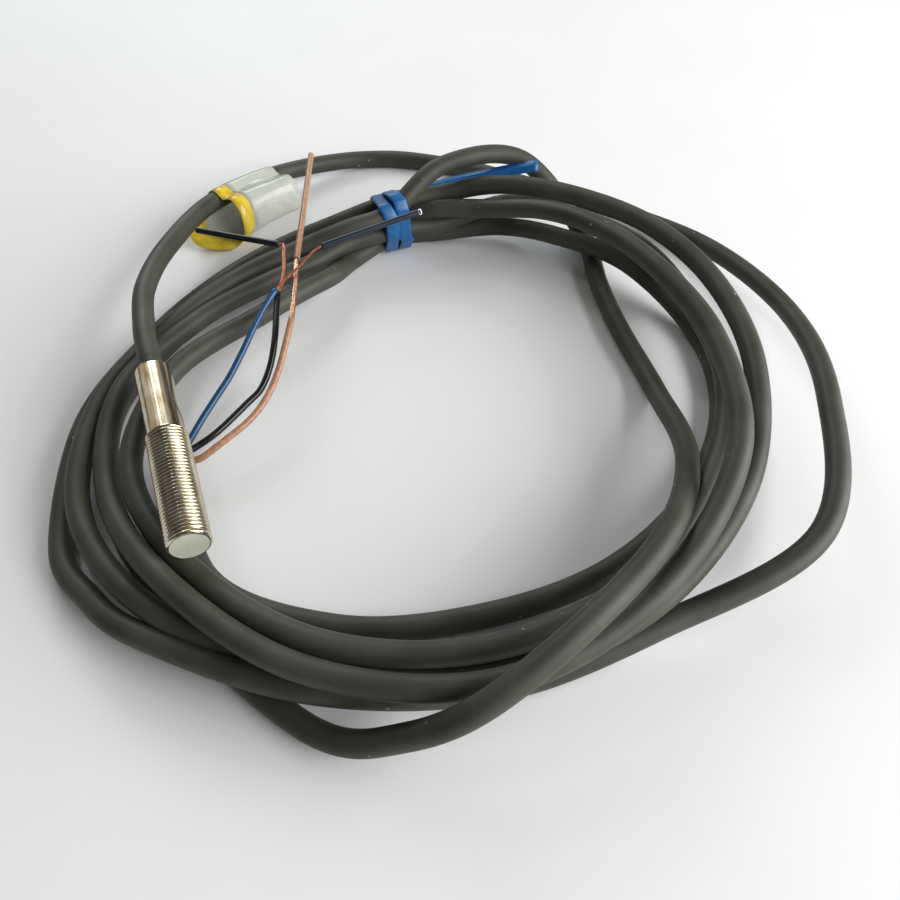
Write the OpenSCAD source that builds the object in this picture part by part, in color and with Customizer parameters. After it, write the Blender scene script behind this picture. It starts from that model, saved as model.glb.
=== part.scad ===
// Pre-wired cylindrical inductive proximity sensor, M5 x 0.5, with its cable in a loose tied coil.
// Origin on the sensor's axis at the middle of its thread; the sensing face looks along -Y; +Z is up.

/* [Barrel] */
// Major diameter of the thread
thread_d = 5; // [4.6:0.1:6]
// Length of the threaded part
thread_len = 16; // [12:0.5:20]
// Diameter of the smooth rear part
rear_d = 4.5; // [4.4:0.05:5]
// Length of the smooth rear part
rear_len = 11.5; // [9:0.5:13]
// Diameter of the bore inside the barrel
bore_d = 3.9; // [3.8:0.05:4]
// Chamfer at the barrel's front rim
rim_chamfer = 0.3; // [0.1:0.05:0.35]

/* [Sensing head] */
// Diameter of the sensing face
face_d = 4.3; // [4:0.05:4.4]
// Thickness of the sensing face
face_t = 0.6; // [0.4:0.1:1]
// Outside diameter of the ferrite pot core
core_d = 3.6; // [3.2:0.1:3.7]
// Height of the ferrite pot core
core_h = 2.2; // [1.8:0.1:2.6]
// Diameter of the pot core's centre post
post_d = 1.2; // [1:0.1:1.3]

/* [Electronics] */
// Length of the circuit board
board_len = 17; // [15:0.5:18]
// Width of the circuit board
board_w = 3.2; // [2.8:0.1:3.4]
// Thickness of the circuit board
board_t = 0.5; // [0.4:0.1:0.6]

/* [Cable] */
// Diameter of the cable jacket
cable_d = 2.9; // [2.8:0.05:3]
// Diameter of one insulated core
wire_d = 0.9; // [0.8:0.05:1]
// Diameter of one core's bundle of copper strands
copper_d = 0.5; // [0.4:0.05:0.6]
// Bore of the loose insulation slugs
slug_bore_d = 0.62; // [0.6:0.01:0.7]

/* [Hidden] */

round_fn = 64;
eps = 0.01;
face_y = -thread_len / 2;
rear_y = thread_len / 2 + rear_len;
rest_z = -10.5;
cord_sides = 8;

// Stations on the sensor's axis, as depths behind the sensing face
post_gap = 0.1;
core_front = face_t;
wind_front = core_front + 0.3;
wind_len = 1.2;
board_front = core_front + core_h + 0.8;
board_back = board_front + board_len;
bush_len = 3;
bush_front = thread_len + rear_len - bush_len;

// ---- Cable route ----
// The lead leaves the sensor's rear along +Y and rises into the coil's first turn
lead = [[0, rear_y, 0], [-0.1, 23.5, 0], [0, 29, -0.3], [1.2, 38, -1.1]];
coil_x = 36;
coil_y = 23;
turn_start = 140;
turn_step = 20;
// Each pair is [distance from the coil's middle, height above the rest plane], one station every
// turn_step degrees, clockwise as seen from above; each list is one turn
turn_1 = [
    [39.5, 8], [43, 6], [46, 3.5], [47.5, 1.5], [44.5, 1.5], [43, 1.5],
    [45.5, 2], [51, 3], [55, 5], [57, 8], [61, 7.5], [55.5, 3],
    [55, 1.5], [56, 4.2], [56.5, 4], [55, 1.5], [47, 1.5], [38.5, 1.5],
];
turn_2 = [
    [33.5, 1.5], [29.8, 2.4], [25.3, 5.4], [24, 7.8], [26.3, 8.2], [28.5, 10.5],
    [32.5, 11], [38, 11], [42.5, 11], [47, 10.5], [51.5, 8.5], [54, 6],
    [54.5, 4.5], [52.6, 4.3], [54, 5.2], [51.5, 4.5], [44, 4.5], [34.5, 4.5],
];
turn_3 = [
    [28, 5], [23, 6], [20.3, 7.6], [21, 8.3], [27.5, 12.5], [35.3, 11.2],
    [36, 2.5], [31, 1.5], [31, 1.5], [36, 2], [44, 7.5], [51.5, 13.5],
    [59, 12], [59, 1.5], [52, 1.5], [48, 1.5], [43.3, 1.5], [35.3, 1.5],
];
turn_4 = [
    [28.5, 1.5], [24.5, 1.5], [24.5, 2.5], [24.1, 4.9], [23.4, 7.2], [24.9, 8.2],
    [26.5, 11], [29, 13], [33.5, 14], [41, 14], [49, 13.5], [54, 10],
    [57, 8.5], [55.5, 8.2], [51.5, 8.2], [47.5, 5.5], [41, 5.5], [31, 5],
];
turn_5 = [
    [23.5, 5], [20, 5], [20.4, 4.8], [20.9, 4.8], [23.6, 4.2], [31, 5.5],
    [34.5, 6], [37.5, 7], [40, 7], [44, 7.5], [47.5, 7.5], [51, 7],
    [52.5, 6.5], [52, 7.2], [48.5, 7], [44, 7], [34, 6.5], [21.5, 6],
];
turn_6 = [
    [17, 5.5], [16, 4.5], [19.4, 2.3], [22.6, 2.2], [24.9, 1.7], [28.5, 2.5],
    [30, 4.5], [35.5, 4.5], [42, 1.5], [45, 1.5], [46, 1.5], [46.5, 1.5],
    [46.5, 1.5], [47.5, 1.5], [47, 2], [38.5, 3.5],
];
turns = concat(turn_1, turn_2, turn_3, turn_4, turn_5, turn_6);
turn_stations = 360 / turn_step;

// Stations where the cable leaves the tied bundle: the outer loop and the inner loop
outer_end = 13;
inner_start = 39;
inner_end = 49;
tail_start = 103;

function polar(i) = let (a = turn_start - turn_step * i)
    [coil_x + turns[i][0] * cos(a), coil_y + turns[i][0] * sin(a), rest_z + turns[i][1]];
function stretch(from, to) = [for (i = [from : to]) polar(i)];

// The cores come out of the jacket's end, under the sensor
brown_path = [
    [0.3, 8.8, -7.3], [0.9, 10, -7.3], [2.4, 9.4, -7], [5, 10, -6.2], [9.6, 12, -5.4], [12.5, 14.2, -4.6],
    [15, 17.2, -3.5], [17.4, 21, -1.8], [19, 24, -0.9],
];
brown_bare = [[19, 24, -0.9], [20.9, 29.4, -0.5], [22.6, 34.9, 0]];
brown_aim = [31, 57.4, 2];
brown_slug_len = 24;
black_path = [
    [-0.2, 8.8, -6.5], [0.3, 10.3, -6.4], [2.2, 11, -6.5], [5.5, 12.2, -6], [10.2, 14.8, -5], [12.3, 16, -4.4],
    [14.3, 18.6, -3.4], [16, 22.2, -2.2], [17.4, 26.6, -1.4], [18.4, 29.8, -1],
];
black_bare = [
    [18.4, 29.8, -1], [19.7, 32.1, -0.8], [20.6, 34.6, -0.6], [21.2, 37.2, -0.5], [21.6, 38.7, -0.55],
    [21.5, 39.6, -0.55], [21, 39.9, -0.5],
];
black_aim = [10.2, 46.1, 0.6];
black_slug_len = 12.5;
blue_path = [
    [-0.7, 8.8, -7.3], [-0.2, 10.8, -7.3], [1.8, 12.8, -6.8], [3.8, 14.8, -6], [6.2, 16.9, -5], [8.8, 19.2, -4],
    [11.4, 22, -2.8], [13.2, 24, -1.8], [15.6, 27, -1], [18.2, 29.6, -0.1],
];
blue_bare = [[18.2, 29.6, -0.1], [22.4, 32.4, 0.6], [26.6, 35.1, 1.1]];
blue_aim = [42, 36, 2.4];
blue_slug_len = 15.5;
// How far the bare strands reach into each slug
slug_grip = 9;

// ---- Sweeping ----
function unit(v) = v / norm(v);
function spline(a, b, c, d, t) =
    0.5 * (2 * b + (c - a) * t + (2 * a - 5 * b + 4 * c - d) * t * t + (3 * b - a - 3 * c + d) * t * t * t);
function grounded(p) = [for (q = p) [q[0], q[1], max(q[2], rest_z + cable_d / 2)]];
// Points on a smooth curve through the given points, with "parts" steps between each two
function smooth(p, parts) = let (n = len(p), q = concat([2 * p[0] - p[1]], p, [2 * p[n - 1] - p[n - 2]]))
    concat(
        [for (i = [1 : n - 1]) for (k = [0 : parts - 1]) spline(q[i - 1], q[i], q[i + 1], q[i + 2], k / parts)],
        [p[n - 1]]
    );
function tangent(p, i) = unit(p[min(i + 1, len(p) - 1)] - p[max(i - 1, 0)]);
function ring(c, t, r, sides) = let (s = unit(cross(t, [0, 0, 1])), u = cross(s, t))
    [for (k = [0 : sides - 1]) c + r * (cos(360 * k / sides) * s + sin(360 * k / sides) * u)];

// A round tube along the points p
module tube(p, d, sides = cord_sides) {
    n = len(p);
    points = [for (i = [0 : n - 1]) for (q = ring(p[i], tangent(p, i), d / 2, sides)) q];
    walls = [
        for (i = [0 : n - 2]) for (k = [0 : sides - 1]) let (j = (k + 1) % sides, a = i * sides, b = a + sides)
            each [[a + k, a + j, b + j], [a + k, b + j, b + k]]
    ];
    front = [for (k = [sides - 1 : -1 : 0]) k];
    back = [for (k = [0 : sides - 1]) (n - 1) * sides + k];
    polyhedron(points, concat([front], walls, [back]));
}

// Turns children so that their +Z runs from a towards b, starting at a
module aimed(a, b) {
    d = b - a;
    translate(a) rotate([0, acos(d[2] / norm(d)), atan2(d[1], d[0])]) children();
}

// Puts children, drawn along +Z, on the sensor's axis, with z = 0 at the sensing face
module in_barrel() {
    translate([0, face_y, 0]) rotate([-90, 0, 0]) children();
}

// ---- Sensor ----
module barrel() {
    total = thread_len + rear_len;
    color([0.72, 0.68, 0.6]) in_barrel() difference() {
        union() {
            cylinder(h = rim_chamfer, d1 = thread_d - 2 * rim_chamfer, d2 = thread_d, $fn = round_fn);
            translate([0, 0, rim_chamfer]) cylinder(h = thread_len - rim_chamfer, d = thread_d, $fn = round_fn);
            translate([0, 0, thread_len]) cylinder(h = rear_len, d = rear_d, $fn = round_fn);
        }
        translate([0, 0, -eps]) cylinder(h = face_t + eps, d = face_d, $fn = round_fn);
        translate([0, 0, -eps]) cylinder(h = total + 2 * eps, d = bore_d, $fn = round_fn);
    }
}

module sensing_face() {
    color([0.72, 0.74, 0.66]) in_barrel() cylinder(h = face_t, d = face_d, $fn = round_fn);
}

module ferrite_core() {
    cup_wall = 0.3;
    cup_depth = core_h - 0.5;
    color([0.2, 0.2, 0.21]) in_barrel() translate([0, 0, core_front]) {
        difference() {
            cylinder(h = core_h, d = core_d, $fn = round_fn);
            translate([0, 0, -eps]) cylinder(h = cup_depth + eps, d = core_d - 2 * cup_wall, $fn = round_fn);
        }
        cylinder(h = core_h - 0.4, d = post_d, $fn = round_fn);
    }
}

module coil_bobbin() {
    flange_d = 2.8;
    flange_t = 0.15;
    color([0.9, 0.88, 0.8]) in_barrel() translate([0, 0, wind_front - flange_t]) difference() {
        union() {
            cylinder(h = flange_t, d = flange_d, $fn = round_fn);
            cylinder(h = wind_len + 2 * flange_t, d = post_d + 0.4, $fn = round_fn);
            translate([0, 0, wind_len + flange_t]) cylinder(h = flange_t, d = flange_d, $fn = round_fn);
        }
        translate([0, 0, -eps]) cylinder(h = wind_len + 1, d = post_d + 0.05, $fn = round_fn);
    }
}

module sensing_winding() {
    color([0.7, 0.35, 0.15]) in_barrel() translate([0, 0, wind_front]) difference() {
        cylinder(h = wind_len, d = 2.6, $fn = round_fn);
        translate([0, 0, -eps]) cylinder(h = wind_len + 2 * eps, d = post_d + 0.4, $fn = round_fn);
    }
}

// Two fine wires from the pot core's back to the board's front pads
module winding_leads() {
    lead_d = 0.2;
    back = core_front + core_h;
    color([0.75, 0.4, 0.2]) in_barrel() for (side = [-1, 1])
        translate([side * 0.8, -board_t / 2 - lead_d / 2, back])
            cylinder(h = board_front - back + 1, d = lead_d, $fn = 24);
}

module circuit_board() {
    color([0.1, 0.4, 0.2]) in_barrel() translate([-board_w / 2, -board_t / 2, board_front])
        cube([board_w, board_t, board_len]);
}

// A block that stands on the board: side 1 is its upper face and -1 its lower face
module on_board(side, across, along, size) {
    base = side > 0 ? -board_t / 2 - size[1] : board_t / 2;
    in_barrel() translate([across - size[0] / 2, base, board_front + along]) cube(size);
}

module oscillator_chip() {
    color([0.1, 0.1, 0.1]) on_board(1, 0, 3, [2, 0.7, 3]);
}

module output_transistor() {
    color([0.12, 0.12, 0.13]) on_board(-1, 0, 8.5, [1.4, 0.8, 2.2]);
}

module chip_capacitors() {
    color([0.75, 0.65, 0.5]) for (k = [0 : 2]) on_board(-1, k % 2 == 0 ? -0.7 : 0.7, 2 + 1.6 * k, [0.5, 0.45, 1]);
}

module chip_resistors() {
    color([0.15, 0.15, 0.2]) for (k = [0 : 3]) on_board(1, k % 2 == 0 ? -0.8 : 0.8, 7.4 + 1.4 * k, [0.5, 0.3, 1]);
}

// The three pads at the board's rear, where the cable's cores are soldered
core_spread = 1;
core_names = ["brown", "black", "blue"];
pad_along = board_len - 2.4;
core_rise = board_t / 2 + wire_d / 2;

module solder_joints() {
    color([0.8, 0.8, 0.82]) for (k = [-1 : 1])
        on_board(-1, k * core_spread, pad_along - 1, [0.6, 0.5, 1]);
}

module core_end(k) {
    in_barrel() translate([k * core_spread, core_rise, board_front + pad_along])
        cylinder(h = bush_front - board_front - pad_along, d = wire_d, $fn = 32);
}

module brown_core_end() {
    color([0.45, 0.28, 0.18]) core_end(-1);
}

module black_core_end() {
    color([0.08, 0.08, 0.08]) core_end(0);
}

module blue_core_end() {
    color([0.1, 0.25, 0.6]) core_end(1);
}

// Casting resin that seals the barrel between the board's tail and the cable
module resin_fill() {
    front = board_front + pad_along + 0.4;
    color([0.16, 0.15, 0.12]) difference() {
        in_barrel() translate([0, 0, front]) cylinder(h = bush_front - front, d = bore_d, $fn = round_fn);
        circuit_board();
        for (k = [-1 : 1]) core_end(k);
    }
}

// Rubber bush between the barrel and the cable jacket
module cable_bush() {
    color([0.1, 0.1, 0.1]) in_barrel() translate([0, 0, bush_front]) difference() {
        cylinder(h = bush_len, d = bore_d, $fn = round_fn);
        translate([0, 0, -eps]) cylinder(h = bush_len + 2 * eps, d = cable_d, $fn = round_fn);
    }
}

// ---- Cable ----
jacket = [0.22, 0.23, 0.21];

// From inside the bush, out of the sensor's rear and round the loose outer loop
module cable_lead() {
    inside = [[0, rear_y - bush_len, 0], [0, rear_y - 1, 0]];
    color(jacket) tube(concat(inside, grounded(smooth(concat(lead, stretch(0, outer_end)), 2))), cable_d);
}

// The loop that crosses the inside of the coil and comes out over its front
module cable_inner_loop() {
    color(jacket) tube(grounded(smooth(stretch(inner_start, inner_end), 2)), cable_d);
}

module cable_tail() {
    color(jacket) tube(grounded(smooth(stretch(tail_start, len(turns) - 1), 2)), cable_d);
}

// Outline of the tied bundle: at each station, the box round every turn that runs in it
function bundled(i) = i > outer_end - 1 && (i < inner_start || i > inner_end) && i < tail_start + 1;
function members(j) = [for (i = [j : turn_stations : len(turns) - 1]) if (bundled(i)) turns[i]];
function spans(j) = let (m = members(j), r = [for (q = m) q[0]], h = [for (q = m) q[1]])
    [min(r) - cable_d / 2, max(r) + cable_d / 2, min(h) - cable_d / 2, max(h) + cable_d / 2];
corner_cut = cable_d / 3;
// Beside and in front of the sensor the bundle is kept low, clear of what screws onto the thread
low_from = 13;
low_to = 16;
low_top = 6.9;
function top(j) = j >= low_from && j <= low_to ? low_top : spans(j)[3];
function bundle_ring(j) = let (s = spans(j), t = top(j), a = turn_start - turn_step * j, c = corner_cut)
    [for (q = [
        [s[0] + c, s[2]], [s[1] - c, s[2]], [s[1], s[2] + c], [s[1], t - c],
        [s[1] - c, t], [s[0] + c, t], [s[0], t - c], [s[0], s[2] + c],
    ]) [coil_x + q[0] * cos(a), coil_y + q[0] * sin(a), rest_z + q[1]]];

module cable_coil() {
    points = [for (j = [0 : turn_stations - 1]) for (q = bundle_ring(j)) q];
    walls = [
        for (j = [0 : turn_stations - 1]) for (k = [0 : 7])
            let (m = (k + 1) % 8, a = j * 8, b = ((j + 1) % turn_stations) * 8)
                each [[a + k, b + m, a + m], [a + k, b + k, b + m]]
    ];
    color(jacket) polyhedron(points, walls);
}

// ---- Tie, label and free core ends ----
tie_at = [40.2, 45.1, -5.25];
tie_turn = 2;
tie_size = [3.9, 7.2, 10.1];
tie_wall = 0.5;
tail_from = [41.6, 48.1, -1.6];
tail_to = [64.5, 42.9, 0.9];
tail_w = 1.6;
tail_t = 0.5;

module cable_tie() {
    color([0.05, 0.3, 0.7]) translate(tie_at) rotate([0, 0, tie_turn]) difference() {
        cube(tie_size, center = true);
        cube([tie_size[0] + 1, tie_size[1] - 2 * tie_wall, tie_size[2] - 2 * tie_wall], center = true);
    }
}

module tie_tail() {
    tail_len = norm(tail_to - tail_from);
    color([0.05, 0.3, 0.7]) aimed(tail_from, tail_to) translate([-tail_t / 2, -tail_w / 2, 0])
        cube([tail_t, tail_w, tail_len]);
}

// Clear film wrapped round the lead, with its ends brought together in an open loop beside it
module label_film() {
    film_len = 11.4;
    film_t = 0.3;
    wrap_d = cable_d + 0.3;
    loop_d = 6.6;
    wrap_from = [14.2, 60, -4.4];
    wrap_to = [23.4, 66.4, -6.2];
    loop_from = [15.8, 57.7, -6.8];
    loop_to = [25, 64.1, -6.8];
    color([0.85, 0.87, 0.85]) difference() {
        union() {
            aimed(wrap_from, wrap_to) cylinder(h = film_len, d = wrap_d + 2 * film_t, $fn = 32);
            aimed(loop_from, loop_to) cylinder(h = film_len, d = loop_d + 2 * film_t, $fn = 32);
        }
        aimed(wrap_from, wrap_to) translate([0, 0, -2]) cylinder(h = film_len + 4, d = wrap_d, $fn = 32);
        aimed(loop_from, loop_to) translate([0, 0, -2]) cylinder(h = film_len + 4, d = loop_d, $fn = 32);
    }
}

module insulated(path) {
    tube(smooth(path, 1), wire_d);
}

// Bare strands run from the insulation's end straight into the loose slug
module strands(bare, aim) {
    last = bare[len(bare) - 1];
    tip = last + unit(aim - last) * slug_grip;
    tube(concat(bare, [tip]), copper_d);
}

module slug(bare, aim, length) {
    last = bare[len(bare) - 1];
    aimed(last, aim) difference() {
        cylinder(h = length, d = wire_d, $fn = 32);
        translate([0, 0, -eps]) cylinder(h = length + 2 * eps, d = slug_bore_d, $fn = 32);
    }
}

module brown_core() {
    color([0.6, 0.36, 0.25]) insulated(brown_path);
}

module black_core() {
    color([0.06, 0.06, 0.06]) insulated(black_path);
}

module blue_core() {
    color([0.08, 0.2, 0.5]) insulated(blue_path);
}

module brown_strands() {
    color([0.85, 0.5, 0.3]) strands(brown_bare, brown_aim);
}

module black_strands() {
    color([0.85, 0.5, 0.3]) strands(black_bare, black_aim);
}

module blue_strands() {
    color([0.7, 0.35, 0.2]) strands(blue_bare, blue_aim);
}

module brown_slug() {
    color([0.6, 0.4, 0.3]) slug(brown_bare, brown_aim, brown_slug_len);
}

module black_slug() {
    color([0.05, 0.05, 0.05]) slug(black_bare, black_aim, black_slug_len);
}

module blue_slug() {
    color([0.04, 0.12, 0.3]) slug(blue_bare, blue_aim, blue_slug_len);
}

barrel();
sensing_face();
ferrite_core();
coil_bobbin();
sensing_winding();
winding_leads();
circuit_board();
oscillator_chip();
output_transistor();
chip_capacitors();
chip_resistors();
solder_joints();
brown_core_end();
black_core_end();
blue_core_end();
resin_fill();
cable_bush();
cable_lead();
cable_coil();
cable_inner_loop();
cable_tail();
cable_tie();
tie_tail();
label_film();
brown_core();
black_core();
blue_core();
brown_strands();
black_strands();
blue_strands();
brown_slug();
black_slug();
blue_slug();
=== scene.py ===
import bpy
import math
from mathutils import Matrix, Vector


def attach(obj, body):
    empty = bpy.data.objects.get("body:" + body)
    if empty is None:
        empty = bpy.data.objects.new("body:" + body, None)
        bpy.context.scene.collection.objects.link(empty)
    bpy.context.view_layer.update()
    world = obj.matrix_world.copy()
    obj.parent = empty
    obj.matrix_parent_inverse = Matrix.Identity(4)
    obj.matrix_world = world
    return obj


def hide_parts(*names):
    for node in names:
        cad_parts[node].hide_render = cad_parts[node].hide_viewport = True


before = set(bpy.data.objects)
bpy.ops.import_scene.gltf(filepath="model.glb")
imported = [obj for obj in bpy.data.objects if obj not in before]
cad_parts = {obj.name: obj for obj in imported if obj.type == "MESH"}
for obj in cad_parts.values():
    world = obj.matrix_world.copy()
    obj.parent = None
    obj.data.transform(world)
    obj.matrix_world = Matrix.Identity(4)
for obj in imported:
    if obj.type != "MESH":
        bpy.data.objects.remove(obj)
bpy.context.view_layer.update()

# The barrel's axis is Y, its sensing face looks to -Y, and up is +Z
MM = 0.001
UP = Vector((0, 0, 1))
# The table, in mm and in metres
TABLE = -10.5
REST_Z = TABLE * MM

# ---------------------------------------------------------------- camera

camera = bpy.data.objects.new("camera", bpy.data.cameras.new("camera"))
bpy.context.collection.objects.link(camera)
camera.location = Vector((10.28, -59.11, 73.1)) * MM
camera.rotation_euler = (math.radians(38), 0, math.radians(-21))
camera.data.lens = 31.6
camera.data.sensor_width = 36
camera.data.clip_start = 0.005
camera.data.clip_end = 5
bpy.context.scene.camera = camera

# ---------------------------------------------------------------- materials


def material(name):
    m = bpy.data.materials.new(name)
    m.use_nodes = True
    nodes, links = m.node_tree.nodes, m.node_tree.links
    return m, nodes, links, nodes["Principled BSDF"]


def noise(nodes, links, scale, detail=4, vector=None):
    """Fractal noise, on the object's own coordinates unless a vector is given. scale is per metre."""
    n = nodes.new("ShaderNodeTexNoise")
    n.inputs["Scale"].default_value = scale
    n.inputs["Detail"].default_value = detail
    if vector is None:
        coord = nodes.new("ShaderNodeTexCoord")
        vector = coord.outputs["Object"]
    links.new(vector, n.inputs["Vector"])
    return n.outputs["Fac"]


def ramp(nodes, links, fac, stops):
    """A colour ramp with stops of (position, colour)."""
    r = nodes.new("ShaderNodeValToRGB")
    while len(r.color_ramp.elements) < len(stops):
        r.color_ramp.elements.new(0.5)
    for e, (pos, col) in zip(r.color_ramp.elements, stops):
        e.position = pos
        e.color = (*col, 1)
    links.new(fac, r.inputs["Fac"])
    return r.outputs["Color"]


def bump(nodes, links, height, strength, distance, shader):
    """Bump on the shader's normal, distance in metres."""
    b = nodes.new("ShaderNodeBump")
    b.inputs["Strength"].default_value = strength
    b.inputs["Distance"].default_value = distance
    links.new(height, b.inputs["Height"])
    links.new(b.outputs["Normal"], shader.inputs["Normal"])


def rough(nodes, links, fac, low, high, shader):
    """Roughness between low and high, following fac."""
    r = nodes.new("ShaderNodeMapRange")
    r.inputs["To Min"].default_value = low
    r.inputs["To Max"].default_value = high
    links.new(fac, r.inputs["Value"])
    links.new(r.outputs["Result"], shader.inputs["Roughness"])


def plastic(name, dark, light, low, high, scale=900, grain=0.15, metallic=0):
    """Blotches from dark to light, roughness from low to high and a fine grain."""
    m, nodes, links, shader = material(name)
    fac = noise(nodes, links, scale)
    links.new(ramp(nodes, links, fac, [(0.3, dark), (0.7, light)]), shader.inputs["Base Color"])
    rough(nodes, links, noise(nodes, links, scale * 0.4), low, high, shader)
    bump(nodes, links, noise(nodes, links, scale * 3), grain, 0.05 * MM, shader)
    shader.inputs["Metallic"].default_value = metallic
    return m


def speckled(name, dark, light, dust, low, high):
    """A matt jacket with a slow tone change along it, a fine grain and scattered specks of dust."""
    m, nodes, links, shader = material(name)
    base = ramp(nodes, links, noise(nodes, links, 160, 6), [(0.35, dark), (0.65, light)])
    coord = nodes.new("ShaderNodeTexCoord")
    cells = nodes.new("ShaderNodeTexVoronoi")
    cells.inputs["Scale"].default_value = 420
    links.new(coord.outputs["Object"], cells.inputs["Vector"])
    specks = ramp(nodes, links, cells.outputs["Distance"], [(0.05, (1, 1, 1)), (0.09, (0, 0, 0))])
    patches = ramp(nodes, links, noise(nodes, links, 110, 2), [(0.5, (0, 0, 0)), (0.62, (1, 1, 1))])
    both = nodes.new("ShaderNodeMix")
    both.data_type = "RGBA"
    both.blend_type = "MULTIPLY"
    both.inputs["Factor"].default_value = 1
    links.new(specks, both.inputs["A"])
    links.new(patches, both.inputs["B"])
    mix = nodes.new("ShaderNodeMix")
    mix.data_type = "RGBA"
    links.new(both.outputs["Result"], mix.inputs["Factor"])
    links.new(base, mix.inputs["A"])
    mix.inputs["B"].default_value = (*dust, 1)
    links.new(mix.outputs["Result"], shader.inputs["Base Color"])
    rough(nodes, links, noise(nodes, links, 500), low, high, shader)
    bump(nodes, links, noise(nodes, links, 3000, 6), 0.35, 0.04 * MM, shader)
    shader.inputs["Specular IOR Level"].default_value = 0.34
    return m


def metal(name, stops, low, high):
    """Worn plating: blotches of tone round the barrel and fine streaks along it."""
    m, nodes, links, shader = material(name)
    coord = nodes.new("ShaderNodeTexCoord")
    stretch = nodes.new("ShaderNodeMapping")
    stretch.inputs["Scale"].default_value = (1, 0.25, 1)
    links.new(coord.outputs["Object"], stretch.inputs["Vector"])
    fac = noise(nodes, links, 900, 8, stretch.outputs["Vector"])
    links.new(ramp(nodes, links, fac, stops), shader.inputs["Base Color"])
    rough(nodes, links, noise(nodes, links, 1400, 6), low, high, shader)
    bump(nodes, links, noise(nodes, links, 2500, 8), 0.15, 0.02 * MM, shader)
    shader.inputs["Metallic"].default_value = 1
    return m


NICKEL = [(0.3, (0.34, 0.26, 0.15)), (0.45, (0.56, 0.48, 0.34)), (0.7, (0.78, 0.73, 0.62))]
# Darker tones for the faces deep in the thread: painted shade in the grooves
GROOVE_SHADE = [(0.3, (0.08, 0.06, 0.035)), (0.5, (0.17, 0.135, 0.08)), (0.7, (0.30, 0.26, 0.19))]

jacket_mat = speckled("jacket", (0.040, 0.041, 0.030), (0.062, 0.064, 0.050), (0.30, 0.31, 0.27), 0.46, 0.6)
metal_mat = metal("nickel", NICKEL, 0.08, 0.26)
groove_shade_mat = metal("thread_groove_shade", GROOVE_SHADE, 0.3, 0.5)
face_mat = plastic("face", (0.47, 0.48, 0.38), (0.58, 0.59, 0.48), 0.4, 0.6, 1200, 0.15)
tie_mat = plastic("tie", (0.004, 0.085, 0.25), (0.008, 0.125, 0.35), 0.32, 0.45, 1500, 0.15)
blue_mat = plastic("blue_insulation", (0.004, 0.045, 0.125), (0.008, 0.07, 0.18), 0.2, 0.3, 1500, 0.05)
# The blue sleeve: a copy of the blue insulation painted several times darker, as painted shade
blue_sleeve_shade_mat = plastic("blue_slug", (0.002, 0.009, 0.020), (0.004, 0.015, 0.032), 0.34, 0.44, 1500, 0.05)
black_mat = plastic("black_insulation", (0.004, 0.0045, 0.005), (0.008, 0.009, 0.01), 0.14, 0.22, 1500, 0.05)
brown_mat = plastic("brown_insulation", (0.33, 0.155, 0.085), (0.47, 0.25, 0.15), 0.22, 0.34, 1500, 0.1)
white_mat = plastic("cut_insulation", (0.75, 0.76, 0.78), (0.85, 0.86, 0.88), 0.4, 0.5, 2500, 0.05)
stripe_mat = plastic("label_stripe", (0.62, 0.43, 0.02), (0.82, 0.62, 0.07), 0.12, 0.22, 700, 0.05)
copper_mat = plastic("copper", (0.80, 0.46, 0.29), (0.95, 0.64, 0.45), 0.2, 0.32, 2500, 0.1, 1)
dull_copper_mat = plastic("dull_copper", (0.34, 0.13, 0.08), (0.58, 0.27, 0.18), 0.28, 0.4, 2500, 0.1, 1)
dark_copper_mat = plastic("dark_copper", (0.12, 0.04, 0.025), (0.26, 0.09, 0.055), 0.3, 0.42, 2500, 0.1, 1)
label_mat = plastic("label", (0.60, 0.62, 0.54), (0.68, 0.70, 0.62), 0.1, 0.2, 800, 0.05)
label_mat.node_tree.nodes["Principled BSDF"].inputs["Alpha"].default_value = 0.74

board_mat = plastic("board", (0.01, 0.12, 0.04), (0.02, 0.17, 0.06), 0.3, 0.45)
chip_mat = plastic("chip", (0.02, 0.02, 0.02), (0.035, 0.035, 0.035), 0.4, 0.55)
tan_mat = plastic("ceramic", (0.35, 0.25, 0.15), (0.45, 0.34, 0.22), 0.3, 0.45)
solder_mat = plastic("solder", (0.6, 0.6, 0.62), (0.7, 0.7, 0.72), 0.2, 0.35, metallic=1)
ferrite_mat = plastic("ferrite", (0.03, 0.03, 0.03), (0.05, 0.05, 0.055), 0.5, 0.65)
winding_mat = plastic("winding", (0.45, 0.16, 0.06), (0.58, 0.24, 0.10), 0.25, 0.4, metallic=1)
bobbin_mat = plastic("bobbin", (0.6, 0.57, 0.46), (0.7, 0.67, 0.56), 0.4, 0.5)
resin_mat = plastic("resin", (0.02, 0.018, 0.014), (0.04, 0.036, 0.03), 0.15, 0.3)

# CAD nodes that stay as they are, and their finish
CARRIED = {
    "ferrite_core": ferrite_mat,
    "coil_bobbin": bobbin_mat,
    "sensing_winding": winding_mat,
    "winding_leads": winding_mat,
    "circuit_board": board_mat,
    "oscillator_chip": chip_mat,
    "output_transistor": chip_mat,
    "chip_capacitors": tan_mat,
    "chip_resistors": chip_mat,
    "solder_joints": solder_mat,
    "brown_core_end": brown_mat,
    "black_core_end": black_mat,
    "blue_core_end": blue_mat,
    "resin_fill": resin_mat,
    "cable_bush": jacket_mat,
    "sensing_face": face_mat,
}
for node, mat in CARRIED.items():
    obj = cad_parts[node]
    obj.data.materials.clear()
    obj.data.materials.append(mat)

# ---------------------------------------------------------------- shapes


def mesh_object(name, verts, faces, mat, smooth=True):
    """A mesh object of one material."""
    me = bpy.data.meshes.new(name)
    me.from_pydata(verts, [], faces)
    me.update()
    if smooth:
        me.polygons.foreach_set("use_smooth", [True] * len(me.polygons))
    obj = bpy.data.objects.new(name, me)
    bpy.context.collection.objects.link(obj)
    me.materials.append(mat)
    return obj


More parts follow.
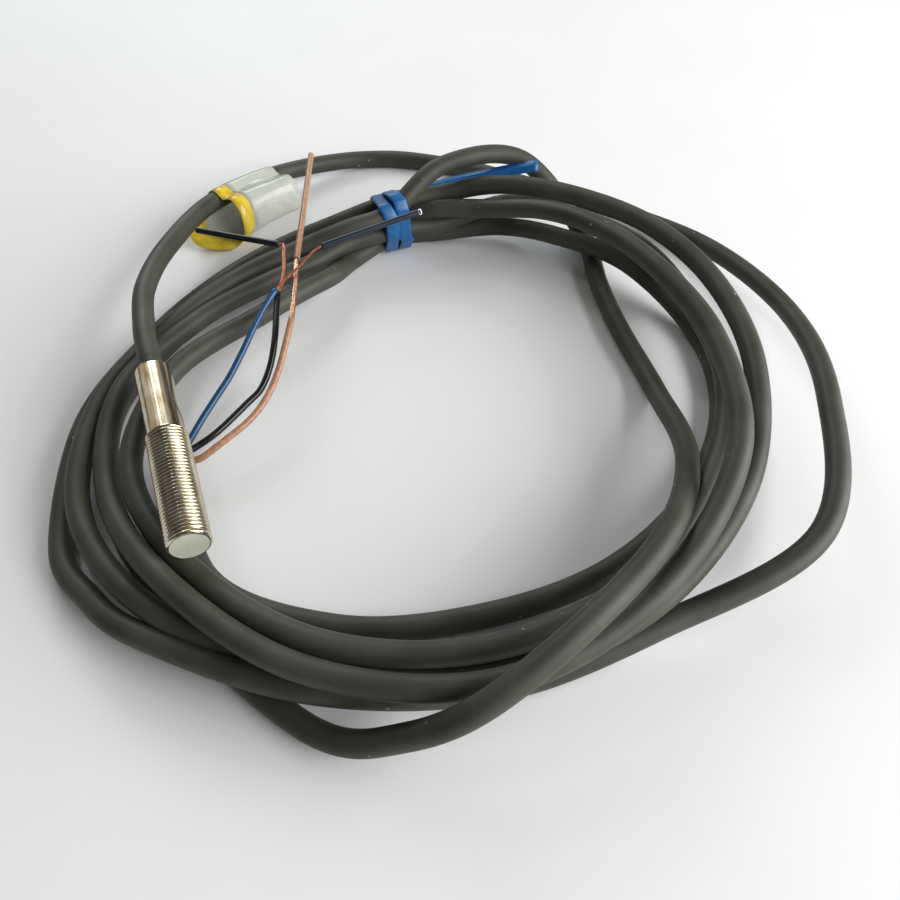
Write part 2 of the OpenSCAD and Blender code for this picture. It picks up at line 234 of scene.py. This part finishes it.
def spline(points, step, fine=0):
    """Points, in metres, on a smooth curve through the given points, in mm.

    They are at most step apart, and a quarter of that in the first fine spans.
    """
    p = [Vector(q) * MM for q in points]
    p = [2 * p[0] - p[1], *p, 2 * p[-1] - p[-2]]
    out = []
    for i, (a, b, c, d) in enumerate(zip(p, p[1:], p[2:], p[3:])):
        parts = max(1, math.ceil((c - b).length / (step / 4 if i < fine else step)))
        for k in range(parts):
            t = k / parts
            out.append(0.5 * (2 * b + (c - a) * t + (2 * a - 5 * b + 4 * c - d) * t * t
                              + (3 * b - a - 3 * c + d) * t ** 3))
    return [*out, p[-2]]


def frames(points):
    """(point, side, up) along the points, turned no more than the line itself turns."""
    out = []
    side = None
    for i, p in enumerate(points):
        t = (points[min(i + 1, len(points) - 1)] - points[max(i - 1, 0)]).normalized()
        if side is None:
            side = t.cross(UP).normalized()
        side = (side - t * side.dot(t)).normalized()
        out.append((p, side, side.cross(t)))
    return out


def grid(rows, sides, closed=False, capped=True):
    """The faces between rows of sides points each. The last row meets the first if closed."""
    faces = []
    for i in range(rows if closed else rows - 1):
        a, b = i * sides, (i + 1) % rows * sides
        for k in range(sides):
            j = (k + 1) % sides
            faces.append((a + k, a + j, b + j, b + k))
    if capped and not closed:
        faces.append(tuple(range(sides - 1, -1, -1)))
        faces.append(tuple((rows - 1) * sides + k for k in range(sides)))
    return faces


def tube(name, points, radius, mat, sides):
    """A round tube along the points. radius is a number, or a function of the distance along it."""
    verts = []
    along = 0.0
    last = points[0]
    for p, side, up in frames(points):
        along += (p - last).length
        last = p
        r = radius(along) if callable(radius) else radius
        for k in range(sides):
            a = 2 * math.pi * k / sides
            verts.append(p + r * (math.cos(a) * side + math.sin(a) * up))
    return mesh_object(name, verts, grid(len(points), sides), mat)


def join(name, parts):
    """One mesh from several objects, each with one material."""
    verts, faces, mats, slots = [], [], [], []
    for obj in parts:
        base = len(verts)
        verts += [v.co.copy() for v in obj.data.vertices]
        mat = obj.data.materials[0]
        if mat not in mats:
            mats.append(mat)
        for f in obj.data.polygons:
            faces.append([base + i for i in f.vertices])
            slots.append(mats.index(mat))
        bpy.data.objects.remove(obj)
    out = mesh_object(name, verts, faces, mats[0])
    for mat in mats[1:]:
        out.data.materials.append(mat)
    out.data.polygons.foreach_set("material_index", slots)
    return out


def strap(name, rows, section, mat, closed):
    """Sweeps a flat strap's section along rows of (point, across, out)."""
    verts = [p + across * w + out * t for p, across, out in rows for w, t in section]
    return mesh_object(name, verts, grid(len(rows), len(section), closed), mat)


# ---------------------------------------------------------------- cable

CABLE_R = 1.45 * MM
# Where the cable leaves the barrel's rear, and how far inside it begins, in mm
HIDDEN = 3
# The cable's first points, straight out of the barrel's rear, in mm
LEAD = [(0, 16.5, 0), (0, 19.5, 0), (-0.1, 23.5, 0), (0, 29, -0.3), (1.2, 38, -1.1)]
# The coil's middle in mm, and its stations: where they start and how far apart they are, in degrees clockwise
COIL = (36, 23)
TURN_START = 140
TURN_STEP = 20
# Each station's distance from the coil's middle and height above the table, in mm
TURNS = [
    (39.5, 8), (43, 6), (46, 3.5), (47.5, 1.5), (44.5, 1.5), (43, 1.5),
    (45.5, 2), (51, 3), (55, 5), (57, 8), (61, 7.5), (55.5, 3),
    (55, 1.5), (56, 4.2), (56.5, 4), (55, 1.5), (47, 1.5), (38.5, 1.5),
    (33.5, 1.5), (29.8, 2.4), (25.3, 5.4), (24, 7.8), (26.3, 8.2), (28.5, 10.5),
    (32.5, 11), (38, 11), (42.5, 11), (47, 10.5), (51.5, 8.5), (54, 6),
    (54.5, 4.5), (52.6, 4.3), (54, 5.2), (51.5, 4.5), (44, 4.5), (34.5, 4.5),
    (28, 5), (23, 6), (20.3, 7.6), (21, 8.3), (27.5, 12.5), (35.3, 11.2),
    (36, 2.5), (31, 1.5), (31, 1.5), (36, 2), (44, 7.5), (51.5, 13.5),
    (59, 12), (59, 1.5), (52, 1.5), (48, 1.5), (43.3, 1.5), (35.3, 1.5),
    (28.5, 1.5), (24.5, 1.5), (24.5, 2.5), (24.1, 4.9), (23.4, 7.2), (24.9, 8.2),
    (26.5, 11), (29, 13), (33.5, 14), (41, 14), (49, 13.5), (54, 10),
    (57, 8.5), (55.5, 8.2), (51.5, 8.2), (47.5, 5.5), (41, 5.5), (31, 5),
    (23.5, 5), (20, 5), (20.4, 4.8), (20.9, 4.8), (23.6, 4.2), (31, 5.5),
    (34.5, 6), (37.5, 7), (40, 7), (44, 7.5), (47.5, 7.5), (51, 7),
    (52.5, 6.5), (52, 7.2), (48.5, 7), (44, 7), (34, 6.5), (21.5, 6),
    (17, 5.5), (16, 4.5), (19.4, 2.3), (22.6, 2.2), (24.9, 1.7), (28.5, 2.5),
    (30, 4.5), (35.5, 4.5), (42, 1.5), (45, 1.5), (46, 1.5), (46.5, 1.5),
    (46.5, 1.5), (47.5, 1.5), (47, 2), (38.5, 3.5),
]
# Half a step after these stations, where the cable bends more tightly
HALF_STEPS = {14: (56.5, 2.5), 48: (60.5, 5.5)}


def station(step, r, h):
    a = math.radians(TURN_START - TURN_STEP * step)
    return (COIL[0] + r * math.cos(a), COIL[1] + r * math.sin(a), h + TABLE)


def route():
    """The cable's middle line, nowhere lower than lying on the table."""
    points = list(LEAD)
    for i, (r, h) in enumerate(TURNS):
        points.append(station(i, r, h))
        if i in HALF_STEPS:
            points.append(station(i + 0.5, *HALF_STEPS[i]))
    line = spline(points, 1.2 * MM, 3)
    for p in line:
        p.z = max(p.z, REST_Z + CABLE_R)
    return line


path = route()


def jacket_radius(along):
    """The jacket is squeezed into two wrinkles in the first 3 mm out of the barrel."""
    out = along / MM - HIDDEN
    if not 0 < out < 3:
        return CABLE_R
    first = 0.14 * math.exp(-((out - 0.5) / 0.4) ** 2)
    second = 0.07 * math.exp(-((out - 1.5) / 0.3) ** 2)
    return CABLE_R * (1 - first - second)


cable = tube("cable", path, jacket_radius, jacket_mat, 24)
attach(cable, "sensor")
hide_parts("cable_lead", "cable_coil", "cable_inner_loop", "cable_tail")

# ---------------------------------------------------------------- sensor

# The thread, in mm
PITCH = 0.5
CREST_R = 2.49
ROOT_R = 2.22
THREAD_FROM = -7.75
THREAD_TO = 7.9
BARREL_SIDES = 72
ROWS_PER_TURN = 8
# Up to this part of the thread's depth, its faces are painted darker, as painted shade in the thread's
# grooves
GROOVE = 0.36
# (along the axis, radius) in mm: over the rim from the front recess, and from the thread to the rear's end
RIM = [(-7.4, 2.15), (-8.0, 2.15), (-8.0, 2.25), (-7.78, 2.47)]
REAR = [
    (8.0, 2.3), (8.1, 2.25), (8.2, 2.25), (8.4, 2.25), (18.9, 2.25), (19.1, 2.25), (19.25, 2.23),
    (19.4, 2.15), (19.5, 2.02), (19.5, 1.95), (16.0, 1.95),
]


def thread_radius(y, a):
    """The thread's surface y along the axis at the angle a, run out to the crest at both ends."""
    phase = (y / PITCH + a / (2 * math.pi)) % 1.0
    wave = min(1.0, max(0.0, 1.35 * abs(2 * phase - 1) - 0.15))
    fade = max(0.0, min(1.0, (y - THREAD_FROM) / 0.5, (THREAD_TO - y) / 0.5))
    full = ROOT_R + (CREST_R - ROOT_R) * wave
    return CREST_R + (full - CREST_R) * fade


def thread():
    """The barrel's shell: a chamfered rim, a right-hand thread, a smooth rear."""
    angles = [2 * math.pi * k / BARREL_SIDES for k in range(BARREL_SIDES)]
    rings = [(y, [r] * BARREL_SIDES) for y, r in RIM]
    rows = int((THREAD_TO - THREAD_FROM) / PITCH * ROWS_PER_TURN)
    for i in range(rows + 1):
        y = THREAD_FROM + (THREAD_TO - THREAD_FROM) * i / rows
        rings.append((y, [thread_radius(y, a) for a in angles]))
    rings += [(y, [r] * BARREL_SIDES) for y, r in REAR]
    verts = []
    for y, radii in rings:
        verts += [Vector((r * math.cos(a), y, r * math.sin(a))) * MM for a, r in zip(angles, radii)]
    obj = mesh_object("barrel_shell", verts, grid(len(rings), BARREL_SIDES, capped=False), metal_mat)
    # Faces deep in the thread get the second, darker material: painted shade in the grooves
    obj.data.materials.append(groove_shade_mat)
    groove_r = ROOT_R + GROOVE * (CREST_R - ROOT_R)
    for f in obj.data.polygons:
        c = f.center
        if THREAD_FROM * MM < c.y < THREAD_TO * MM and math.hypot(c.x, c.z) < groove_r * MM:
            f.material_index = 1
    return obj


barrel = thread()
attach(barrel, "sensor")
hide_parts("barrel")

# ---------------------------------------------------------------- cores

# In mm: the insulated line, the bare copper, where the loose sleeve is aimed, how long it is, and its finish
CORES = {
    "brown": (
        [
            (0.3, 8.8, -7.3), (0.9, 10, -7.3), (2.4, 9.4, -7), (5, 10, -6.2), (9.6, 12, -5.4),
            (12.5, 14.2, -4.6), (15, 17.2, -3.5), (17.4, 21, -1.8), (19, 24, -0.9),
        ],
        [(19, 24, -0.9), (20.9, 29.4, -0.5), (22.6, 34.9, 0)],
        (31, 57.4, 2), 24, brown_mat,
    ),
    "black": (
        [
            (-0.2, 8.8, -6.5), (0.3, 10.3, -6.4), (2.2, 11, -6.5), (5.5, 12.2, -6), (10.2, 14.8, -5),
            (12.3, 16, -4.4), (14.3, 18.6, -3.4), (16, 22.2, -2.2), (17.4, 26.6, -1.4), (18.4, 29.8, -1),
        ],
        [
            (18.4, 29.8, -1), (19.7, 32.1, -0.8), (20.6, 34.6, -0.6), (21.2, 37.2, -0.5), (21.6, 38.7, -0.55),
            (21.5, 39.6, -0.55), (21, 39.9, -0.5),
        ],
        (10.2, 46.1, 0.6), 12.5, black_mat,
    ),
    "blue": (
        [
            (-0.7, 8.8, -7.3), (-0.2, 10.8, -7.3), (1.8, 12.8, -6.8), (3.8, 14.8, -6), (6.2, 16.9, -5),
            (8.8, 19.2, -4), (11.4, 22, -2.8), (13.2, 24, -1.8), (15.6, 27, -1), (18.2, 29.6, -0.1),
        ],
        [(18.2, 29.6, -0.1), (22.4, 32.4, 0.6), (26.6, 35.1, 1.1)],
        (42, 36, 2.4), 15.5, blue_mat,
    ),
}
CORE_R = 0.45
# The loose sleeves: the radius of the bore, how deep it is open, and how far the copper reaches in
SLEEVE_BORE = 0.3
SLEEVE_DEPTH = 2.2
GRIP = 9
# The blue sleeve's pale cut end: which way it slants, the radius of its bore, its wall and its thickness
CUT_SLANT = Vector((-0.1, -0.75, 0.5))
CUT_BORE = 0.2
CUT_WALL = 0.25
CUT_THICK = 0.2
# Wires seen in each bundle: how many, radius of one, radius of the ring they lie on, turns per mm, and finish
STRANDS = {
    "brown": (9, 0.1, 0.25, 0.02, copper_mat),
    "black": (8, 0.09, 0.2, 0.05, dull_copper_mat),
    "blue": (6, 0.08, 0.11, 0.12, dark_copper_mat),
}


def hollow(name, start, way, span, outer, bore, depth, mat):
    """A tube of insulation with rounded lips and its bore open for depth at each end, in mm."""
    side = way.cross(UP).normalized()
    up = side.cross(way)
    lip = 0.06
    profile = [
        (depth, 0.01), (depth, bore), (lip, bore), (0, bore + lip), (0, outer - lip), (lip, outer),
        (2 * lip, outer), (span - 2 * lip, outer), (span - lip, outer), (span, outer - lip),
        (span, bore + lip), (span - lip, bore), (span - depth, bore), (span - depth, 0.01),
    ]
    sides = 24
    verts = [
        (start + way * x + (side * math.cos(a) + up * math.sin(a)) * r) * MM
        for x, r in profile for a in [2 * math.pi * k / sides for k in range(sides)]
    ]
    return mesh_object(name, verts, grid(len(profile), sides), mat)


def cut_end(middle, way):
    """A pale ring round the bore, where a sleeve was cut off at a slant."""
    slant = (way + CUT_SLANT).normalized()
    across = slant.cross(UP).normalized()
    up = slant.cross(across)
    rows = []
    for k in range(28):
        a = math.pi * k / 14
        out = across * math.cos(a) + up * math.sin(a)
        rows.append(((middle + out * CUT_BORE) * MM, slant, out))
    section = [(0, 0), (CUT_THICK, 0), (CUT_THICK, CUT_WALL), (0, CUT_WALL)]
    return strap("cut_end", rows, [(w * MM, t * MM) for w, t in section], white_mat, True)


def wires(name, line, count, wire, lay, twist, mat):
    """A bundle of fine wires round a line, with one up its middle. They lie closer inside the sleeve."""
    tubes = [tube(name + "_0", line, wire * MM, mat, 6)]
    steps = frames(line)
    total = sum((b - a).length for a, b in zip(line, line[1:])) / MM
    tight = 0.18
    for w in range(count):
        along = 0.0
        last = line[0]
        points = []
        for p, side, up in steps:
            along += (p - last).length / MM
            last = p
            a = 2 * math.pi * (w / count + twist * along)
            loose = min(1.0, max(0.0, total - GRIP - along) / 1.5, along / 1.5)
            spread = min(lay, tight) + max(0.0, lay - tight) * loose
            wave = spread * (1 + 0.15 * loose * math.sin(1.7 * w + 0.9 * along)) * MM
            points.append(p + wave * (math.cos(a) * side + math.sin(a) * up))
        tubes.append(tube(f"{name}_{w + 1}", points, wire * MM, mat, 6))
    return join(name, tubes)


on_cable = []
for name, (core, bare, aim, span, mat) in CORES.items():
    insulation = tube(name + "_insulation", spline(core, 0.5 * MM), CORE_R * MM, mat, 20)
    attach(insulation, "sensor")
    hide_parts(name + "_core")
    last = Vector(bare[-1])
    way = (Vector(aim) - last).normalized()
    start = Vector(core[-2]).lerp(Vector(core[-1]), 0.8)
    line = spline([start, *bare, last + way * GRIP], 0.4 * MM)
    copper = wires(name + "_copper", line, *STRANDS[name])
    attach(copper, "sensor")
    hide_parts(name + "_strands")
    # The blue sleeve gets the darker copy of its insulation: painted shade
    finish = blue_sleeve_shade_mat if name == "blue" else mat
    sleeve = hollow(name + "_sleeve", last, way, span, CORE_R, SLEEVE_BORE, SLEEVE_DEPTH, finish)
    if name == "blue":
        sleeve = join(name + "_sleeve", [sleeve, cut_end(last + way * (span - 0.12), way)])
    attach(sleeve, name + "_slug")
    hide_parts(name + "_slug")
    on_cable += [insulation, copper, sleeve]

# ---------------------------------------------------------------- tie

TIE_AT = Vector((40.2, 45.1, -5.25)) * MM
TIE_TURN = math.radians(2)
TIE_ALONG = Vector((math.cos(TIE_TURN), math.sin(TIE_TURN), 0))
TIE_ACROSS = Vector((-TIE_ALONG.y, TIE_ALONG.x, 0))
# Half the width of a lap's strap and its thickness; its section is given as parts of these
LAP_HALF = 1.1 * MM
LAP_THICK = 0.4 * MM
LAP_SECTION = [
    (-1, 0.1), (-0.86, 0), (0.86, 0), (1, 0.1), (1, 0.55), (0.86, 0.85), (0.5, 1), (0, 0.9), (-0.5, 1),
    (-0.86, 0.85), (-1, 0.55),
]
LAP_ROWS = 96
# The tail's line and section in mm, and its roll in degrees: at its start, and added over its length
TAIL_LINE = [
    (41.4, 47.9, -1.9), (45.4, 47.2, -1.7), (49.2, 46.6, -1.1), (53.8, 46.6, -1.1), (59.4, 44.8, -0.1),
    (64.4, 42.5, 1.15),
]
TAIL_SECTION = [
    (-0.95, 0), (-0.95, 0.12), (-0.5, 0.2), (-0.12, 0.42), (0.12, 0.42), (0.5, 0.2), (0.95, 0.12), (0.95, 0),
    (0.9, -0.1), (-0.9, -0.1),
]
TAIL_ROLL = (15, -50)

near_tie = [(a, b) for a, b in zip(path, path[1:]) if (a - TIE_AT).length < 12 * MM]


def tied(shift):
    """Where the strands cross a plane shift along from the tie's middle, as (across, up) from it."""
    middle = TIE_AT + TIE_ALONG * shift
    out = []
    for a, b in near_tie:
        p, q = (a - middle).dot(TIE_ALONG), (b - middle).dot(TIE_ALONG)
        if p * q <= 0 and p != q:
            c = a.lerp(b, p / (p - q)) - middle
            out.append((c.dot(TIE_ACROSS), c.z))
    return out


def lap(name, shift, gap, lean):
    """One lap of the strap round the strands, gap mm off them, its top lean mm along from its middle."""
    rows = []
    for k in range(LAP_ROWS):
        a = 2 * math.pi * k / LAP_ROWS
        out = math.cos(a) * TIE_ACROSS + math.sin(a) * UP
        along = (shift + lean * math.sin(a) + 0.1 * math.sin(3 * a + shift)) * MM
        strands = [c for x in (-0.9, 0, 0.9) for c in tied(along + x * MM)]
        y, z = max(strands, key=lambda c: c[0] * math.cos(a) + c[1] * math.sin(a))
        reach = CABLE_R + (gap + 0.06 * math.sin(5 * a + shift)) * MM
        rows.append((TIE_AT + TIE_ACROSS * y + UP * z + out * reach + TIE_ALONG * along, TIE_ALONG, out))
    return strap(name, rows, [(w * LAP_HALF, t * LAP_THICK) for w, t in LAP_SECTION], tie_mat, True)


band = join("tie_laps", [lap("lap_1", -1.05, 0.02, -0.45), lap("lap_2", 1.15, 0.1, -0.7)])
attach(band, "sensor")
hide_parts("cable_tie")

tail_line = spline(TAIL_LINE, 0.8 * MM)
tail_rows = []
for k, (p, side, up) in enumerate(frames(tail_line)):
    roll = math.radians(TAIL_ROLL[0] + TAIL_ROLL[1] * k / len(tail_line))
    cos, sin = math.cos(roll), math.sin(roll)
    tail_rows.append((p, side * cos + up * sin, up * cos - side * sin))
tail = strap("tie_tail_strap", tail_rows, [(w * MM, t * MM) for w, t in TAIL_SECTION], tie_mat, False)
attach(tail, "sensor")
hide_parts("tie_tail")

# ---------------------------------------------------------------- label

# Outline of the film round the cable's middle, as (across, up) in mm, at its near and far ends: round the
# cable, out over a fold to the loop's outer side, and back under it. The last figure is how far the near
# edge is set back along the film.
FILM = [
    ((-1.3, -1.2), (-1.3, -1.2), -1.0), ((-1.62, -0.2), (-1.62, -0.2), -0.4), ((-1.2, 1.1), (-1.2, 1.05), 0),
    ((0, 1.58), (0, 1.55), 0), ((1.1, 1.2), (1.2, 1.05), 0), ((1.9, 0.85), (2.0, 0.8), 0),
    ((2.7, 1.15), (3.0, 1.25), 0.1), ((3.6, 1.4), (4.1, 1.55), 0.1), ((4.7, 1.0), (5.3, 1.1), 0.1),
    ((5.7, -0.2), (6.3, -0.2), 0.1), ((6.3, -2.0), (6.8, -1.8), 0), ((6.35, -4.1), (6.6, -3.4), -0.2),
    ((5.4, -5.6), (5.6, -4.0), -1.4), ((3.6, -5.85), (3.8, -4.1), -2.8), ((1.4, -5.8), (2.2, -4.05), -4.0),
    ((-0.8, -5.4), (0.6, -3.8), -4.8), ((-2.3, -4.3), (-0.6, -3.2), -4.6), ((-2.3, -2.6), (-1.4, -2.4), -3.2),
]
# Its near end on the cable, how far along the cable it reaches, and its thickness, in mm
FILM_FROM = Vector((14.2, 60, -4.4))
FILM_SPAN = 11.4
FILM_THICK = 0.1
# The part of its span that the stripe covers
STRIPE = 0.22


def film_axis():
    """Points of the cable, in mm, at whole millimetres from the film's near end, both ways."""
    first = min(range(len(path)), key=lambda i: (path[i] / MM - FILM_FROM).length)
    out = {}
    for sign in (-1, 1):
        at, i, along, want = path[first] / MM, first, 0.0, 0
        while want <= 16 and 0 < i < len(path) - 1:
            if along >= want:
                out[sign * want] = at
                want += 1
            i += sign
            along += (path[i] / MM - at).length
            at = path[i] / MM
    return out


FILM_AXIS = film_axis()


def on_axis(s):
    """The point of the cable s mm from the film's near end."""
    low = math.floor(s)
    return FILM_AXIS[low].lerp(FILM_AXIS[low + 1], s - low)


def film(name, start, stop, mat):
    """The film between two fractions of its span, as a closed thin shell that doesn't dip into the table."""
    along = (on_axis(FILM_SPAN) - on_axis(0)).normalized()
    across = Vector((along.y, -along.x, 0)).normalized()
    up = across.cross(along)
    near = spline([(*n, back) for n, _, back in FILM + FILM[:1]], 0.3 * MM)
    far = spline([(*f, 0) for _, f, _ in FILM + FILM[:1]], 0.3 * MM)
    count = len(near) - 1
    edges = []
    for k in range(count):
        x = k / count * (len(far) - 1)
        i = min(int(x), len(far) - 2)
        edges.append((near[k] / MM, far[i].lerp(far[i + 1], x - i) / MM))
    levels = max(2, round(10 * (stop - start)))
    inner, outer = [], []
    for j in range(levels + 1):
        t = start + (stop - start) * j / levels
        line = []
        for a, b in edges:
            line.append((a.x * (1 - t) + b.x * t, a.y * (1 - t) + b.y * t, a.z * (1 - t) + FILM_SPAN * t))
        for side, bag in ((0, inner), (FILM_THICK, outer)):
            for k, (u, v, s) in enumerate(line):
                u0, v0, _ = line[k - 1]
                u1, v1, _ = line[(k + 1) % count]
                n = Vector((v1 - v0, u0 - u1)).normalized() * -side
                p = (on_axis(s) + across * (u + n.x) + up * (v + n.y)) * MM
                p.z = max(p.z, REST_Z + (FILM_THICK - side) * MM)
                bag.append(p)
    over = len(inner)
    faces = []
    for j in range(levels):
        for k in range(count):
            q = (k + 1) % count
            a, b = j * count, (j + 1) * count
            faces.append((a + q, a + k, b + k, b + q))
            faces.append((over + a + k, over + a + q, over + b + q, over + b + k))
    end = levels * count
    for k in range(count):
        q = (k + 1) % count
        faces.append((k, q, over + q, over + k))
        faces.append((end + q, end + k, over + end + k, over + end + q))
    return mesh_object(name, inner + outer, faces, mat)


label = join("label", [film("stripe", 0, STRIPE, stripe_mat), film("clear", STRIPE, 1, label_mat)])
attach(label, "sensor")
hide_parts("label_film")
on_cable += [band, tail, label]

# ---------------------------------------------------------------- stage

FLOOR = 3
floor_mat = plastic("floor", (0.86, 0.86, 0.86), (0.88, 0.88, 0.88), 0.6, 0.7, 40, 0.02)
corners = [(-FLOOR, -FLOOR, REST_Z), (FLOOR, -FLOOR, REST_Z), (FLOOR, FLOOR, REST_Z), (-FLOOR, FLOOR, REST_Z)]
floor = mesh_object("floor", corners, [(0, 1, 2, 3)], floor_mat, False)


def area_light(name, location, target, size_m, watts, colour=(1, 1, 1)):
    """A soft light of size_m (width, height) that faces the target."""
    data = bpy.data.lights.new(name, "AREA")
    data.shape = "RECTANGLE"
    data.size, data.size_y = size_m
    data.energy = watts
    data.color = colour
    obj = bpy.data.objects.new(name, data)
    bpy.context.collection.objects.link(obj)
    obj.location = location
    way = Vector(target) - Vector(location)
    obj.rotation_euler = way.to_track_quat("-Z", "Y").to_euler()


area_light("key", (0.41, -0.24, 0.20), (0.03, 0.02, 0), (0.58, 0.42), 5.1)
area_light("window", (0.05, 0.45, 0.25), (0.02, 0.04, 0), (0.25, 0.2), 0.8, (0.85, 0.95, 1))
area_light("strip", (-0.05, 0.36, 0.39), (0, 0, 0), (0.012, 0.2), 0.1)
area_light("card", (-0.06, 0.42, 0.46), (0, 0, 0), (0.34, 0.3), 0.18, (1, 0.93, 0.8))
area_light("card_left", (-0.34, 0.36, 0.24), (0, 0, 0), (0.4, 0.35), 0.2, (1, 0.9, 0.74))
area_light("card_right", (0.21, 0.36, 0.36), (0, 0, 0), (0.36, 0.35), 0.16, (1, 0.93, 0.76))

# Dim as a light, pale where it is seen past the floor
WORLD_LIGHT = 0.12
WORLD_SEEN = 0.8
world = bpy.data.worlds.new("world")
bpy.context.scene.world = world
world.use_nodes = True
nodes, links = world.node_tree.nodes, world.node_tree.links
nodes["Background"].inputs["Strength"].default_value = WORLD_LIGHT
backdrop = nodes.new("ShaderNodeBackground")
backdrop.inputs["Strength"].default_value = WORLD_SEEN
for shade in (nodes["Background"], backdrop):
    shade.inputs["Color"].default_value = (1, 1, 1, 1)
seen = nodes.new("ShaderNodeLightPath")
mix = nodes.new("ShaderNodeMixShader")
links.new(seen.outputs["Is Camera Ray"], mix.inputs[0])
links.new(nodes["Background"].outputs[0], mix.inputs[1])
links.new(backdrop.outputs[0], mix.inputs[2])
links.new(mix.outputs[0], nodes["World Output"].inputs["Surface"])
bpy.context.scene.view_settings.view_transform = "Standard"
